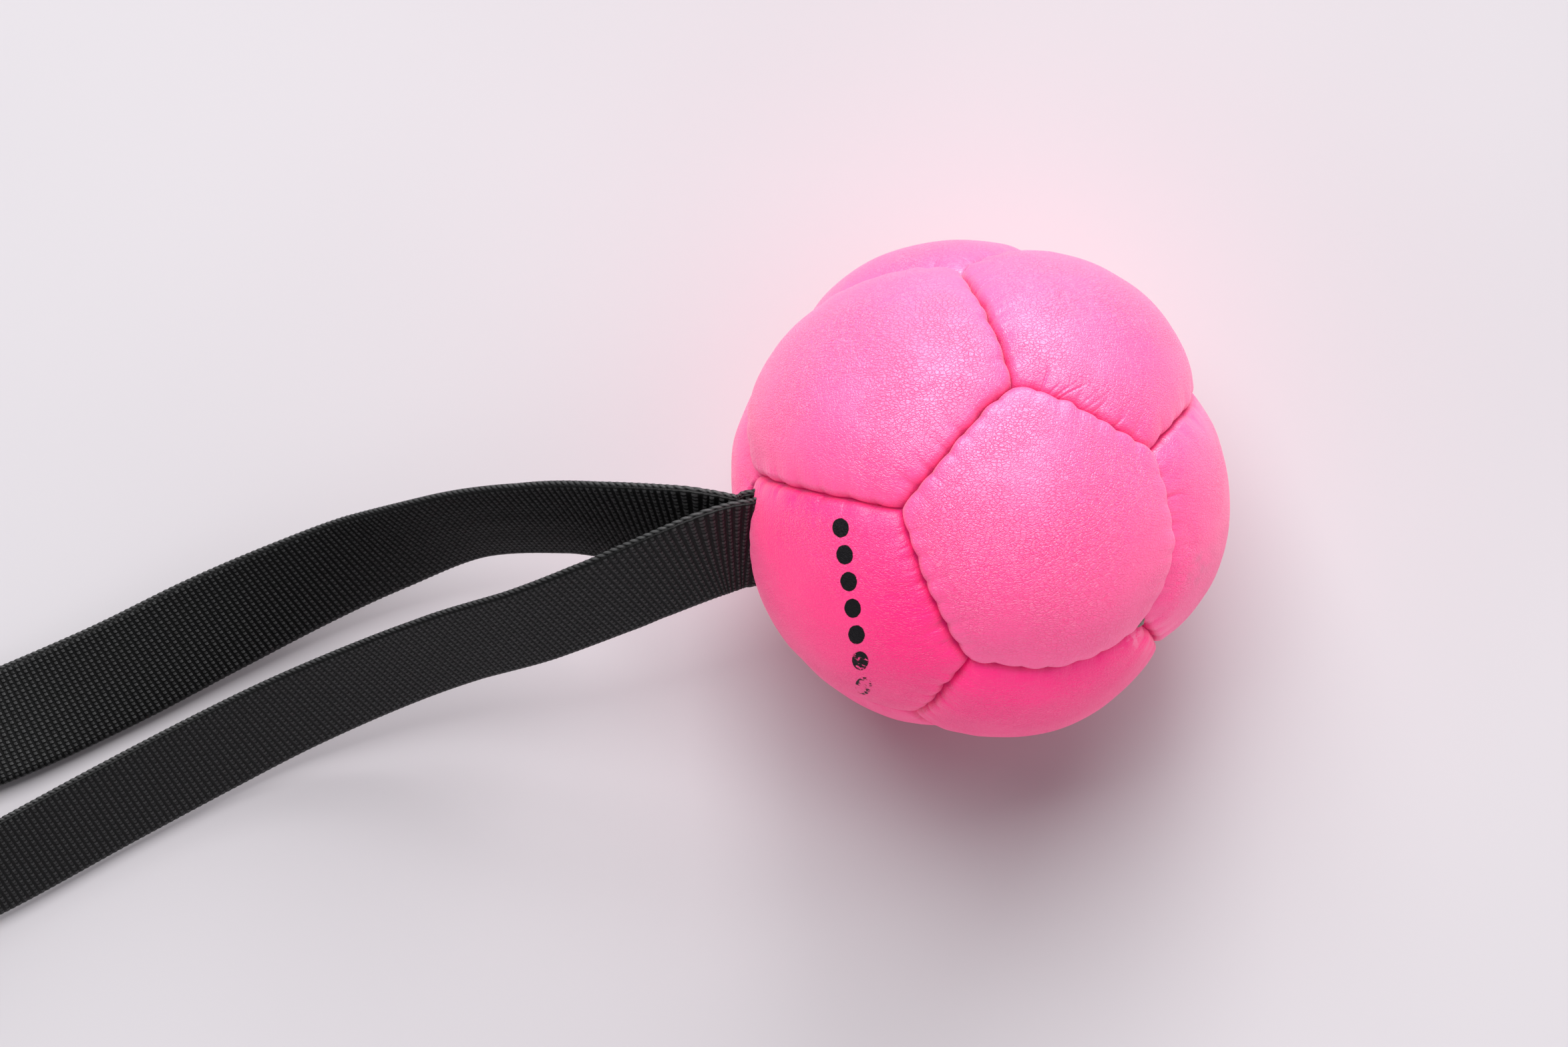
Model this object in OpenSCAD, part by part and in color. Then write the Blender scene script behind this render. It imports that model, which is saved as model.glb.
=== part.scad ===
// Hand-stitched ball of twelve five-sided panels, on a loop of flat webbing.
// Millimetres. +Z is up, and z = 0 is the surface that the ball rests on.
// The origin is on that surface, under the ball's centre. The loop leaves towards -X.

/* [Ball] */
// Distance across two opposite panels, crown to crown
ball_d = 80; // [79:0.5:81]
// Radius of each panel's crown; a smaller one bulges more between the seams
crown_r = 30; // [28:0.5:32]
// Thickness of the synthetic leather
leather_t = 1.1; // [0.9:0.1:1.2]
// Distance from the ball's centre to the raw edges folded in at the seams
fold_r = 33; // [32.5:0.5:33.5]
// Gap between the folded edges of two neighbouring panels
seam_gap = 0.2; // [0.1:0.05:0.3]
// How deep the ball is pressed flat where it rests
rest_press = 0.51; // [0.4:0.01:0.55]

/* [Stitching] */
// Distance between two needle holes
stitch_pitch = 4; // [3.6:0.1:4]
// Needle holes along a plain seam
seam_stitches = 6; // [4:1:6]
// Needle holes along the seam that holds the webbing
strap_stitches = 5; // [3:1:5]
// Distance from the ball's centre to the line of stitches
stitch_r = 34.6; // [34.4:0.1:34.8]
// Diameter of the sewing thread along the seam
thread_d = 0.7; // [0.5:0.05:0.8]
// Diameter of the needle holes
needle_d = 0.9; // [0.85:0.05:1]

/* [Webbing] */
// Width of the webbing
strap_w = 20; // [19:0.5:20]
// Thickness of the webbing
strap_t = 1.8; // [1.4:0.1:1.8]
// Distance from the ball's centre to the line that the loop folds about
fold_axis_r = 41; // [40.8:0.1:41.5]
// Distance from the ball's centre to the cut ends of the webbing
tail_end_r = 14; // [12:1:18]

/* [Lie of the ball] */
// Lean of the top panel's axis away from vertical
top_tilt = 18; // [18:1:18]
// Direction of that lean, anticlockwise from +X
top_turn = -36; // [-36:1:-36]
// Turn of the ball about the top panel's axis
ball_spin = 29; // [29:1:29]

/* [Hidden] */
$fn = 64;
PANELS = [
    "top_panel",
    for (i = [1:5]) str("upper_panel_", i),
    for (i = [1:5]) str("lower_panel_", i),
    "bottom_panel"
];
THREADS = [
    "top_ring_thread", "upper_spoke_thread", "equator_thread", "lower_spoke_thread",
    "bottom_ring_thread", "strap_seam_thread"
];

pink = [0.99, 0.42, 0.64];
thread_pink = [0.86, 0.10, 0.36];
webbing_black = [0.12, 0.12, 0.12];
fibre_white = [0.90, 0.89, 0.86];

// A twelve-sided solid of pentagons: the angle between the axes of two neighbouring panels,
// and from a panel's axis to the middle of its edge
panel_to_panel = acos(1 / sqrt(5));
panel_to_edge = panel_to_panel / 2;

far = 60;                                     // larger than the ball's radius
crown_centre = ball_d / 2 - crown_r;          // along a panel's axis, from the ball's centre
inset = seam_gap / 2;
clearance = 0.1;                              // between pieces that touch
loose = 0.4;                                  // between pieces that only pass each other
fold_room = 1.2;                              // for the loop to swing over the tails
hole_l = 10;                                  // of a needle hole, longer than any seam is thick
ball_z = ball_d / 2 - crown_centre * (1 - cos(top_tilt)) - rest_press;

// Two layers of webbing go through one seam
layers_half = strap_t + clearance / 2;        // half of the two layers' thickness
slot_half = layers_half + clearance;
slot_w = strap_w + 2 * loose;
sleeve_half = slot_half + leather_t;
sleeve_w = slot_w + 2 * leather_t;
strap_room_half = sleeve_half + thread_d + 2 * clearance;
strap_room_w = sleeve_w + 2 * loose;
strap_room_r = sqrt(fold_r * fold_r - strap_room_w * strap_room_w / 4) - clearance;
tail_top_r = fold_axis_r - layers_half - fold_room;
strap_upper = 3;                              // the panels on each side of that seam
strap_lower = 2;
strap_edge = 2;                               // the edge of each that it is

// The box of stitches that joins the two cut ends inside the ball
box_margin = 3;
box_low_r = tail_end_r + box_margin;
box_h = 12;
box_w = 16;

// ---- places on the ball ----

// Lays the ball down as it rests
module as_it_lies() {
    translate([0, 0, ball_z]) rotate([0, 0, top_turn]) rotate([0, top_tilt, 0])
        rotate([0, 0, ball_spin]) children();
}

// A panel's own frame: +Z out through its crown. Rings: 0 top, 1 upper, 2 lower, 3 bottom
module at_panel(ring, i) {
    tip = [0, panel_to_panel, 180 - panel_to_panel, 180][ring];
    half_step = ring == 2 ? 36 : 0;
    own_turn = ring == 1 ? 180 : 0;
    rotate([0, tip, 72 * i + half_step]) rotate([0, 0, own_turn]) children();
}

// A seam's frame, from a panel's: X across the seam, Y along it, +Z out of the ball
module at_seam(edge) {
    rotate([0, panel_to_edge, 72 * edge]) children();
}

module at_strap_seam() {
    at_panel(1, strap_upper) at_seam(strap_edge) children();
}

// All that lies past a panel's five edges
module past_edges(inwards) {
    for (edge = [0:4])
        at_seam(edge) translate([-inwards, -far, -far]) cube([2 * far, 2 * far, 2 * far]);
}

// A block across a seam, from low_r outwards
module seam_block(half, width, low_r) {
    translate([-half, -width / 2, low_r]) cube([2 * half, width, far - low_r]);
}

function stitch_places(count) = [for (k = [0:count - 1]) (k - (count - 1) / 2) * stitch_pitch];

// ---- panels ----

module needle_holes(count) {
    for (y = stitch_places(count))
        translate([0, y, stitch_r]) rotate([0, 90, 0])
            cylinder(d = needle_d, h = hole_l, center = true);
}

// A crowned pentagon whose edges fold in along the seams
module panel(strap_side) {
    difference() {
        translate([0, 0, crown_centre]) sphere(r = crown_r);
        past_edges(inset);
        sphere(r = fold_r);
        difference() {
            translate([0, 0, crown_centre]) sphere(r = crown_r - leather_t);
            past_edges(inset + leather_t);
            if (strap_side)
                at_seam(strap_edge) seam_block(sleeve_half, sleeve_w, 0);
        }
        if (strap_side)
            at_seam(strap_edge) seam_block(slot_half, slot_w, 0);
        for (edge = [0:4])
            at_seam(edge)
                needle_holes(strap_side && edge == strap_edge ? strap_stitches : seam_stitches);
    }
}

module ball_panel(ring, i) {
    color(pink) as_it_lies() at_panel(ring, i)
        panel((ring == 1 && i == strap_upper) || (ring == 2 && i == strap_lower));
}

// The bottom panel is pressed flat where it touches the surface
module bottom_panel() {
    color(pink) difference() {
        as_it_lies() at_panel(3, 0) panel(false);
        translate([-far, -far, -2 * far]) cube(2 * far);
    }
}

// ---- threads ----

// Two threads sewn through each hole, one along each side of the folded edges
module seam_thread(count, side_x) {
    length = (count - 1) * stitch_pitch;
    for (side = [-1, 1])
        translate([side * side_x, 0, stitch_r]) rotate([90, 0, 0])
            cylinder(d = thread_d, h = length + thread_d, center = true);
    for (y = stitch_places(count))
        translate([0, y, stitch_r]) rotate([0, 90, 0])
            cylinder(d = thread_d - clearance, h = 2 * side_x, center = true);
}

module plain_seam_thread() {
    seam_thread(seam_stitches, inset + leather_t + thread_d / 2);
}

module thread_set(ring, edges, skip_strap = false) {
    color(thread_pink) as_it_lies()
        for (i = [0:4])
            for (edge = edges)
                if (!(skip_strap && i == strap_upper && edge == strap_edge))
                    at_panel(ring, i) at_seam(edge) plain_seam_thread();
}

module top_ring_thread() thread_set(1, [0]);
module upper_spoke_thread() thread_set(1, [1]);
module equator_thread() thread_set(1, [2, 3], true);
module lower_spoke_thread() thread_set(2, [1]);
module bottom_ring_thread() thread_set(2, [0]);

module strap_seam_thread() {
    color(thread_pink) as_it_lies() at_strap_seam()
        seam_thread(strap_stitches, sleeve_half + thread_d / 2);
}

// ---- inside ----

// The wad of fibre fills every panel's crown and leaves room for seams and webbing
module fibre_filling() {
    room = inset + leather_t + thread_d + 2 * clearance;
    color(fibre_white) as_it_lies() difference() {
        union() {
            sphere(r = fold_r - loose);
            filling_lobe(0, 0, room);
            filling_lobe(3, 0, room);
            for (ring = [1, 2])
                for (i = [0:4])
                    filling_lobe(ring, i, room);
        }
        at_strap_seam() {
            seam_block(strap_room_half, strap_room_w, strap_room_r);
            seam_block(strap_t + thread_d + 2 * clearance, slot_w, tail_end_r - loose);
        }
    }
}

module filling_lobe(ring, i, room) {
    at_panel(ring, i) difference() {
        translate([0, 0, crown_centre]) sphere(r = crown_r - leather_t - clearance);
        past_edges(room);
    }
}

// The webbing's two cut ends, side by side through the seam and into the ball
module strap_tails() {
    color(webbing_black) as_it_lies() at_strap_seam()
        for (side = [0, 1])
            mirror([side, 0, 0]) difference() {
                translate([clearance / 2, -strap_w / 2, tail_end_r])
                    cube([strap_t, strap_w, tail_top_r - tail_end_r]);
                needle_holes(strap_stitches);
                for (place = box_places())
                    translate([0, place[0], place[1]]) rotate([0, 90, 0])
                        cylinder(d = needle_d, h = hole_l, center = true);
            }
}

// Stitches round the box, as [along the seam, distance from the ball's centre]
function box_places() = [
    for (y = [-box_w / 2:stitch_pitch:box_w / 2], z = [0, box_h]) [y, box_low_r + z],
    for (y = [-box_w / 2, box_w / 2], z = [stitch_pitch, 2 * stitch_pitch]) [y, box_low_r + z],
    [0, box_low_r + box_h / 2]
];

// One straight run of thread in the plane of the webbing, from a to b
module thread_run(a, b) {
    d = b - a;
    translate([0, (a[0] + b[0]) / 2, (a[1] + b[1]) / 2]) rotate([-atan2(d[0], d[1]), 0, 0])
        cylinder(d = thread_d, h = norm(d), center = true);
}

// A square of stitches with a cross in it, through both ends of the webbing
module tail_box_thread() {
    low = box_low_r;
    high = box_low_r + box_h;
    half = box_w / 2;
    runs = [
        [[-half, low], [half, low]], [[-half, high], [half, high]],
        [[-half, low], [-half, high]], [[half, low], [half, high]],
        [[-half, low], [half, high]], [[-half, high], [half, low]]
    ];
    side_x = layers_half + thread_d / 2;
    color(thread_pink) as_it_lies() at_strap_seam() {
        for (side = [-1, 1])
            translate([side * side_x, 0, 0])
                for (run = runs)
                    thread_run(run[0], run[1]);
        for (place = box_places())
            translate([0, place[0], place[1]]) rotate([0, 90, 0])
                cylinder(d = thread_d - clearance, h = 2 * side_x, center = true);
    }
}

// ---- loop ----

// The middle line of the loop: x, y, z, and the webbing's lean from upright in degrees,
// towards the right-hand side of the way it runs
LOOP_ROUTE = [
    [-39, -9.2, 48.3, 46], [-43, -10.5, 48.8, 46], [-48, -12.5, 48, 45], [-54, -15, 46, 44],
    [-60, -17.5, 43, 43], [-72, -22, 35.8, 42], [-86, -26.2, 26.7, 41], [-99, -31, 18.8, 42],
    [-114, -37.5, 12.2, 44], [-128, -44.5, 9, 46], [-145, -53.5, 7.9, 47], [-168, -66, 7.9, 47],
    [-188, -75.5, 9, 38], [-205, -80.5, 10.4, 18], [-218, -79, 10.6, 2], [-225, -70, 10.6, -10],
    [-221, -60, 10.2, -28], [-209, -54, 8.8, -48], [-190, -48.5, 5.7, -68], [-168, -41.5, 4, -80],
    [-146, -32, 5.2, -71], [-128, -23, 7.2, -65], [-113, -16, 10.5, -56], [-99, -10.3, 15.7, -48],
    [-84.5, -6, 25, -36], [-70, -4.8, 34.8, -36], [-58, -5.4, 42.4, -40], [-48, -6.4, 46.4, -44],
    [-43.4, -7.2, 47.2, -46], [-39.4, -7.9, 47, -46]
];
ROUTE_LAST = len(LOOP_ROUTE) - 1;
RINGS_PER_POINT = 2;

function route_at(i) = LOOP_ROUTE[max(0, min(ROUTE_LAST, i))];

// A smooth curve through the route's points
function spline(a, b, c, d, u) =
    0.5 * (2 * b + (c - a) * u + (2 * a - 5 * b + 4 * c - d) * u * u
        + (3 * b - a - 3 * c + d) * u * u * u);

LOOP_LINE = [
    for (i = [0:ROUTE_LAST - 1], k = [0:RINGS_PER_POINT - 1])
        spline(route_at(i - 1), route_at(i), route_at(i + 1), route_at(i + 2), k / RINGS_PER_POINT),
    route_at(ROUTE_LAST)
];
LINE_LAST = len(LOOP_LINE) - 1;

function xyz(p) = [p[0], p[1], p[2]];
function unit(v) = v / norm(v);
function heading(i) = unit(xyz(LOOP_LINE[min(i + 1, LINE_LAST)]) - xyz(LOOP_LINE[max(i - 1, 0)]));

// The webbing's outline across its width: eight points, with its edges slightly rounded
function webbing_outline() = let (w = strap_w / 2, t = strap_t / 2, round = strap_t / 4) [
    [w, t - round], [w - round, t], [round - w, t], [-w, t - round],
    [-w, round - t], [round - w, -t], [w - round, -t], [w, round - t]
];

function webbing_ring(i) =
    let (
        along = heading(i),
        right = unit([along[1], -along[0], 0]),
        upright = cross(right, along),
        lean = LOOP_LINE[i][3],
        wide = upright * cos(lean) + right * sin(lean),
        out = cross(along, wide)
    )
    [for (p = webbing_outline()) xyz(LOOP_LINE[i]) + wide * p[0] + out * p[1]];

module webbing_sweep() {
    sides = len(webbing_outline());
    points = [for (i = [0:LINE_LAST]) each webbing_ring(i)];
    first_cap = [for (s = [0:sides - 1]) s];
    last_cap = [for (s = [sides - 1:-1:0]) LINE_LAST * sides + s];
    walls = [
        for (i = [0:LINE_LAST - 1], s = [0:sides - 1])
            let (
                a = i * sides + s,
                b = i * sides + (s + 1) % sides
            )
            each [[a, a + sides, b], [b, a + sides, b + sides]]
    ];
    polyhedron(points = points, faces = concat([first_cap], walls, [last_cap]));
}

// The loop folds about a line along the seam, just outside the ball
module strap_loop() {
    color(webbing_black) {
        webbing_sweep();
        as_it_lies() at_strap_seam() translate([0, 0, fold_axis_r]) rotate([90, 0, 0])
            cylinder(r = layers_half, h = strap_w, center = true);
    }
}

ball_panel(0, 0);  // top_panel
for (i = [0:4]) {
    ball_panel(1, i);
    ball_panel(2, i);
}
bottom_panel();
top_ring_thread();
upper_spoke_thread();
equator_thread();
lower_spoke_thread();
bottom_ring_thread();
strap_seam_thread();
fibre_filling();
strap_tails();
tail_box_thread();
strap_loop();
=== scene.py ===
"""A soft ball of twelve pink leather panels, hand-stitched, on a loop of flat black webbing.

The ball's panels, its filling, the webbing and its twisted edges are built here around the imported
CAD model, whose threads are kept.
Lengths are worked out in millimetres and turned into metres where a mesh is made.
"""
import math

import bmesh
import bpy
import numpy as np
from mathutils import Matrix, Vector


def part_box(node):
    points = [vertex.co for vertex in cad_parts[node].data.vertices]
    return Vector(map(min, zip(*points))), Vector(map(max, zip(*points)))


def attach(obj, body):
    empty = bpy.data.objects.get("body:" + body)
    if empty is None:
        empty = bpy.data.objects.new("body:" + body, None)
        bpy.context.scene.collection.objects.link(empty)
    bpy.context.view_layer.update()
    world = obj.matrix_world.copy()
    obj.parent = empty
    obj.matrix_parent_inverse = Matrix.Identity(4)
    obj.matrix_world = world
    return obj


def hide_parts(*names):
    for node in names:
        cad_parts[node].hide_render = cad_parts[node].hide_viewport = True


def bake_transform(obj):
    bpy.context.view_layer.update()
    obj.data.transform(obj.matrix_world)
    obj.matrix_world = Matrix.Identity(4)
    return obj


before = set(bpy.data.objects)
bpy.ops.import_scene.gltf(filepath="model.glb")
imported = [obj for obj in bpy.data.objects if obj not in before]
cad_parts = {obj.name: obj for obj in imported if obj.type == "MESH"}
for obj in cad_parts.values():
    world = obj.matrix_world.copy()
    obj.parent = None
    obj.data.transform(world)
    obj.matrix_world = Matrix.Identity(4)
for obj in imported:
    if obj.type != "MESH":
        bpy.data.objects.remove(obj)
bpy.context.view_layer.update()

MM = 0.001

# ---------------------------------------------------------------- the ball's lie, as in the CAD

TOP_TILT, TOP_TURN, BALL_SPIN = 18, -36, 29           # degrees
PANEL_TO_PANEL = math.degrees(math.acos(1 / math.sqrt(5)))
PANEL_TO_EDGE = PANEL_TO_PANEL / 2
CROWN_R = 30.0
TAIL_END_R = 14.0


def box_middle(node):
    low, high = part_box(node)
    return (np.array(low) + np.array(high)) / 2 / MM


# Two opposite panels are mirror images through the ball's centre
BALL_CENTRE = (box_middle("upper_panel_2") + box_middle("lower_panel_4")) / 2
BALL_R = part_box("top_panel")[1][2] / MM - BALL_CENTRE[2]
CROWN_CENTRE = (BALL_R - CROWN_R) / math.cos(math.radians(TOP_TILT))


def turn(axis, degrees):
    """A rotation matrix about x, y or z."""
    c, s = math.cos(math.radians(degrees)), math.sin(math.radians(degrees))
    return np.array({
        "x": [[1, 0, 0], [0, c, -s], [0, s, c]],
        "y": [[c, 0, s], [0, 1, 0], [-s, 0, c]],
        "z": [[c, -s, 0], [s, c, 0], [0, 0, 1]],
    }[axis])


LIE = turn("z", TOP_TURN) @ turn("y", TOP_TILT) @ turn("z", BALL_SPIN)


def panel_frame(ring, i):
    """A panel's own axes: +Z out through its crown. Rings: 0 top, 1 upper, 2 lower, 3 bottom."""
    tip = [0, PANEL_TO_PANEL, 180 - PANEL_TO_PANEL, 180][ring]
    around = 72 * i + (36 if ring == 2 else 0)
    own = turn("z", 180) if ring == 1 else np.eye(3)
    return LIE @ turn("z", around) @ turn("y", tip) @ own


def seam_frame(edge):
    """A seam's axes in its panel's: X across the seam and out of the panel, Y along it."""
    return turn("z", 72 * edge) @ turn("y", PANEL_TO_EDGE)


PANELS = {"top_panel": panel_frame(0, 0), "bottom_panel": panel_frame(3, 0)}
for k in range(5):
    PANELS[f"upper_panel_{k + 1}"] = panel_frame(1, k)
    PANELS[f"lower_panel_{k + 1}"] = panel_frame(2, k)
PANEL_NAMES = sorted(PANELS)

STRAP_PANELS = ("upper_panel_4", "lower_panel_3")
STRAP_SEAM = PANELS[STRAP_PANELS[0]] @ seam_frame(2)
ACROSS, ALONG, OUTWARD = STRAP_SEAM[:, 0], STRAP_SEAM[:, 1], STRAP_SEAM[:, 2]

# ---------------------------------------------------------------- camera

CAMERA_HEIGHT = 740.0
CAMERA_OFFSET = (-31.2, -5.6)                        # from the point under the ball's centre


def add_camera():
    data = bpy.data.cameras.new("camera")
    data.sensor_width = 36
    data.lens = 99.85
    camera = bpy.data.objects.new("camera", data)
    camera.location = (CAMERA_OFFSET[0] * MM, CAMERA_OFFSET[1] * MM, CAMERA_HEIGHT * MM)
    bpy.context.collection.objects.link(camera)
    bpy.context.scene.camera = camera


add_camera()

# ---------------------------------------------------------------- mesh helpers


def add_mesh(name, points_mm, quads):
    """A smooth-shaded mesh from points in millimetres and faces of four corners."""
    data = bpy.data.meshes.new(name)
    points = np.asarray(points_mm, float) * MM
    quads = np.asarray(quads, np.int32)
    data.vertices.add(len(points))
    data.vertices.foreach_set("co", points.ravel())
    data.loops.add(quads.size)
    data.loops.foreach_set("vertex_index", quads.ravel())
    data.polygons.add(len(quads))
    data.polygons.foreach_set("loop_start", np.arange(0, quads.size, 4, dtype=np.int32))
    data.polygons.foreach_set("loop_total", np.full(len(quads), 4, np.int32))
    data.polygons.foreach_set("use_smooth", np.ones(len(quads), bool))
    data.update(calc_edges=True)
    data.validate()
    piece = bpy.data.objects.new(name, data)
    bpy.context.collection.objects.link(piece)
    return piece


def add_number(piece, name, values):
    """One number for each vertex, for the material to read."""
    attribute = piece.data.attributes.new(name, "FLOAT", "POINT")
    attribute.data.foreach_set("value", np.asarray(values, np.float32))


def add_vector(piece, name, values):
    """One vector for each vertex, for the material to read."""
    attribute = piece.data.attributes.new(name, "FLOAT_VECTOR", "POINT")
    attribute.data.foreach_set("vector", np.asarray(values, np.float32).ravel())


def unit(v):
    v = np.asarray(v, float)
    return v / np.linalg.norm(v, axis=-1, keepdims=True)


def smooth_step(x, low, high):
    t = np.clip((x - low) / (high - low), 0, 1)
    return t * t * (3 - 2 * t)


def lumps(points, wavelength, seed, waves=18):
    """Smooth, repeatable unevenness in space, about -1 to 1: a sum of plane waves."""
    rng = np.random.default_rng(seed)
    total = np.zeros(len(points))
    for _ in range(waves):
        way = unit(rng.normal(size=3)) * 2 * math.pi / (wavelength * rng.uniform(0.7, 1.5))
        total += np.sin(points @ way + rng.uniform(0, 2 * math.pi))
    return total / math.sqrt(waves)


# ---------------------------------------------------------------- webbing: its route

# The loop's middle line, as in the CAD: x, y, z in metres, and the lean from upright in degrees
LOOP_ROUTE = [
    (-0.039, -0.0092, 0.0483, 46), (-0.043, -0.0105, 0.0488, 46), (-0.048, -0.0125, 0.048, 45),
    (-0.054, -0.015, 0.046, 44), (-0.060, -0.0175, 0.043, 43), (-0.072, -0.022, 0.0358, 42),
    (-0.086, -0.0262, 0.0267, 41), (-0.099, -0.031, 0.0188, 42), (-0.114, -0.0375, 0.0122, 44),
    (-0.128, -0.0445, 0.009, 46), (-0.145, -0.0535, 0.0079, 47), (-0.168, -0.066, 0.0079, 47),
    (-0.188, -0.0755, 0.009, 38), (-0.205, -0.0805, 0.0104, 18), (-0.218, -0.079, 0.0106, 2),
    (-0.225, -0.070, 0.0106, -10), (-0.221, -0.060, 0.0102, -28), (-0.209, -0.054, 0.0088, -48),
    (-0.190, -0.0485, 0.0057, -68), (-0.168, -0.0415, 0.004, -80), (-0.146, -0.032, 0.0052, -71),
    (-0.128, -0.023, 0.0072, -65), (-0.113, -0.016, 0.0105, -56), (-0.099, -0.0103, 0.0157, -48),
    (-0.0845, -0.006, 0.025, -36), (-0.070, -0.0048, 0.0348, -36), (-0.058, -0.0054, 0.0424, -40),
    (-0.048, -0.0064, 0.0464, -44), (-0.0434, -0.0072, 0.0472, -46), (-0.0394, -0.0079, 0.047, -46),
]
STRAP_HALF_T = 0.95                                  # middle of one layer from the seam's plane
STRAP_START_R = 35.5                                 # how deep in the ball the shown webbing starts


def spline(points, per_point):
    """A smooth curve through the points, with per_point steps between each two."""
    padded = np.vstack([2 * points[0] - points[1], points, 2 * points[-1] - points[-2]])
    out = []
    for a, b, c, d in zip(padded, padded[1:], padded[2:], padded[3:]):
        for u in np.arange(per_point) / per_point:
            out.append(0.5 * (2 * b + (c - a) * u + (2 * a - 5 * b + 4 * c - d) * u * u
                              + (3 * b - a - 3 * c + d) * u ** 3))
    return np.array(out + [points[-1]])


def webbing_line(step):
    """Points along the webbing every step mm, with its width and face directions."""
    route = np.array(LOOP_ROUTE)
    route[:, :3] /= MM
    inside = [
        np.append(BALL_CENTRE + OUTWARD * r + side * ACROSS * STRAP_HALF_T, 46.0 * -side)
        for side in (-1, 1) for r in (STRAP_START_R, STRAP_START_R + 2.5)
    ]
    route = np.vstack([inside[0], inside[1], route, inside[3], inside[2]])
    fine = spline(route, 24)
    steps = np.linalg.norm(np.diff(fine[:, :3], axis=0), axis=1)
    run = np.concatenate([[0], np.cumsum(steps)])
    places = np.linspace(0, run[-1], int(run[-1] / step) + 1)
    line = np.column_stack([np.interp(places, run, fine[:, k]) for k in range(4)])
    heading = unit(np.gradient(line[:, :3], axis=0))
    right = unit(np.column_stack([heading[:, 1], -heading[:, 0], np.zeros(len(line))]))
    upright = np.cross(right, heading)
    lean = np.radians(line[:, 3:4])
    wide = upright * np.cos(lean) + right * np.sin(lean)
    return places, line[:, :3], wide, np.cross(heading, wide)


# ---------------------------------------------------------------- the ball's surface

SEAM_R = 38.5                                        # the seams' distance from the ball's centre
EDGE_MIDDLE = SEAM_R * math.sin(math.radians(PANEL_TO_EDGE))
HALF_GAP = 0.12                                      # from the seam's plane to the leather
SKIRT_R = 33.5                                       # how deep the leather is folded in
LEATHER_T = 0.9
STITCH_PITCH = 4.0

# How the sewn ball has pulled out of true: corners and seam middles, named by the panels that
# meet there, how far each lies from its place on a perfect ball, in x and y, and how widely the
# pull spreads, all in mm
PULLED = [
    (("top_panel", "upper_panel_2", "upper_panel_3"), (0.3, -0.4), 12),
    (("top_panel", "upper_panel_3", "upper_panel_4"), (0.9, -0.2), 12),
    (("top_panel", "upper_panel_1", "upper_panel_2"), (-2.3, -0.3), 12),
    (("top_panel", "upper_panel_4", "upper_panel_5"), (-0.5, -0.2), 12),
    (("top_panel", "upper_panel_1", "upper_panel_5"), (1.0, -0.2), 12),
    (("lower_panel_2", "upper_panel_2", "upper_panel_3"), (0.6, -0.2), 12),
    (("lower_panel_1", "upper_panel_1", "upper_panel_2"), (0.9, 0.8), 12),
    (("lower_panel_5", "upper_panel_1", "upper_panel_5"), (1.0, 0.5), 12),
    (("lower_panel_4", "upper_panel_4", "upper_panel_5"), (3.1, -0.9), 12),
    (("lower_panel_3", "upper_panel_3", "upper_panel_4"), (-1.6, 0), 10),
    (("lower_panel_2", "lower_panel_3", "upper_panel_3"), (-2.0, -1.0), 12),
    (("lower_panel_3", "upper_panel_3"), (-2.2, 0.6), 9),
    (("top_panel", "upper_panel_1"), (2.6, 0), 9),
    (("top_panel", "upper_panel_5"), (0, -2.1), 9),
]

# For each panel: how proud it stands at its seams, where the prouder of two rolls over the other;
# how far its filling puffs it out, in mm; and how deep its pink is
TEMPER = {
    "top_panel": (1.0, 0.7, 0.0), "bottom_panel": (0.5, 0.3, 0.3),
    "upper_panel_1": (0.3, 0.0, 0.1), "upper_panel_2": (0.5, 1.2, 0.0),
    "upper_panel_3": (0.8, 1.0, 0.0), "upper_panel_4": (0.6, 0.5, 1.0),
    "upper_panel_5": (0.4, 0.45, 0.85), "lower_panel_1": (0.7, 0.8, 0.2),
    "lower_panel_2": (0.2, 0.6, 0.1), "lower_panel_3": (0.45, -0.6, 0.3),
    "lower_panel_4": (0.65, 0.5, 0.7), "lower_panel_5": (0.5, 0.6, 0.4),
}
SEAM_LIFT = 0.6                                      # how far the sewn ball swells at its seams


def proud(name):
    return TEMPER[name][0]


def meeting_place(names):
    """The point on the ball, from its centre, where panels meet."""
    return unit(sum(PANELS[name][:, 2] for name in names)) * SEAM_R


def pulled(points):
    """Moves points about the ball's centre as the sewing has pulled them, along its surface."""
    radius = np.linalg.norm(points, axis=1, keepdims=True)
    on_ball = points / radius * SEAM_R
    shift = np.zeros_like(points)
    for names, (dx, dy), spread in PULLED:
        place = meeting_place(names)
        normal = place / SEAM_R
        steep = max(abs(normal[2]), 0.35)
        nudge = np.array([dx, dy, -(normal[0] * dx + normal[1] * dy) / steep])
        near = np.exp(-np.sum((on_ball - place) ** 2, axis=1) / (2 * spread ** 2))
        shift += near[:, None] * nudge
    for axis in range(3):
        shift[:, axis] += 0.16 * lumps(on_ball, 6, 40 + axis)
    return unit(points + shift) * radius


def other_panel(name, edge):
    middle = (PANELS[name] @ seam_frame(edge))[:, 2]
    near = sorted(PANELS, key=lambda other: -PANELS[other][:, 2] @ middle)
    return near[0] if near[1] == name else near[1]


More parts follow.
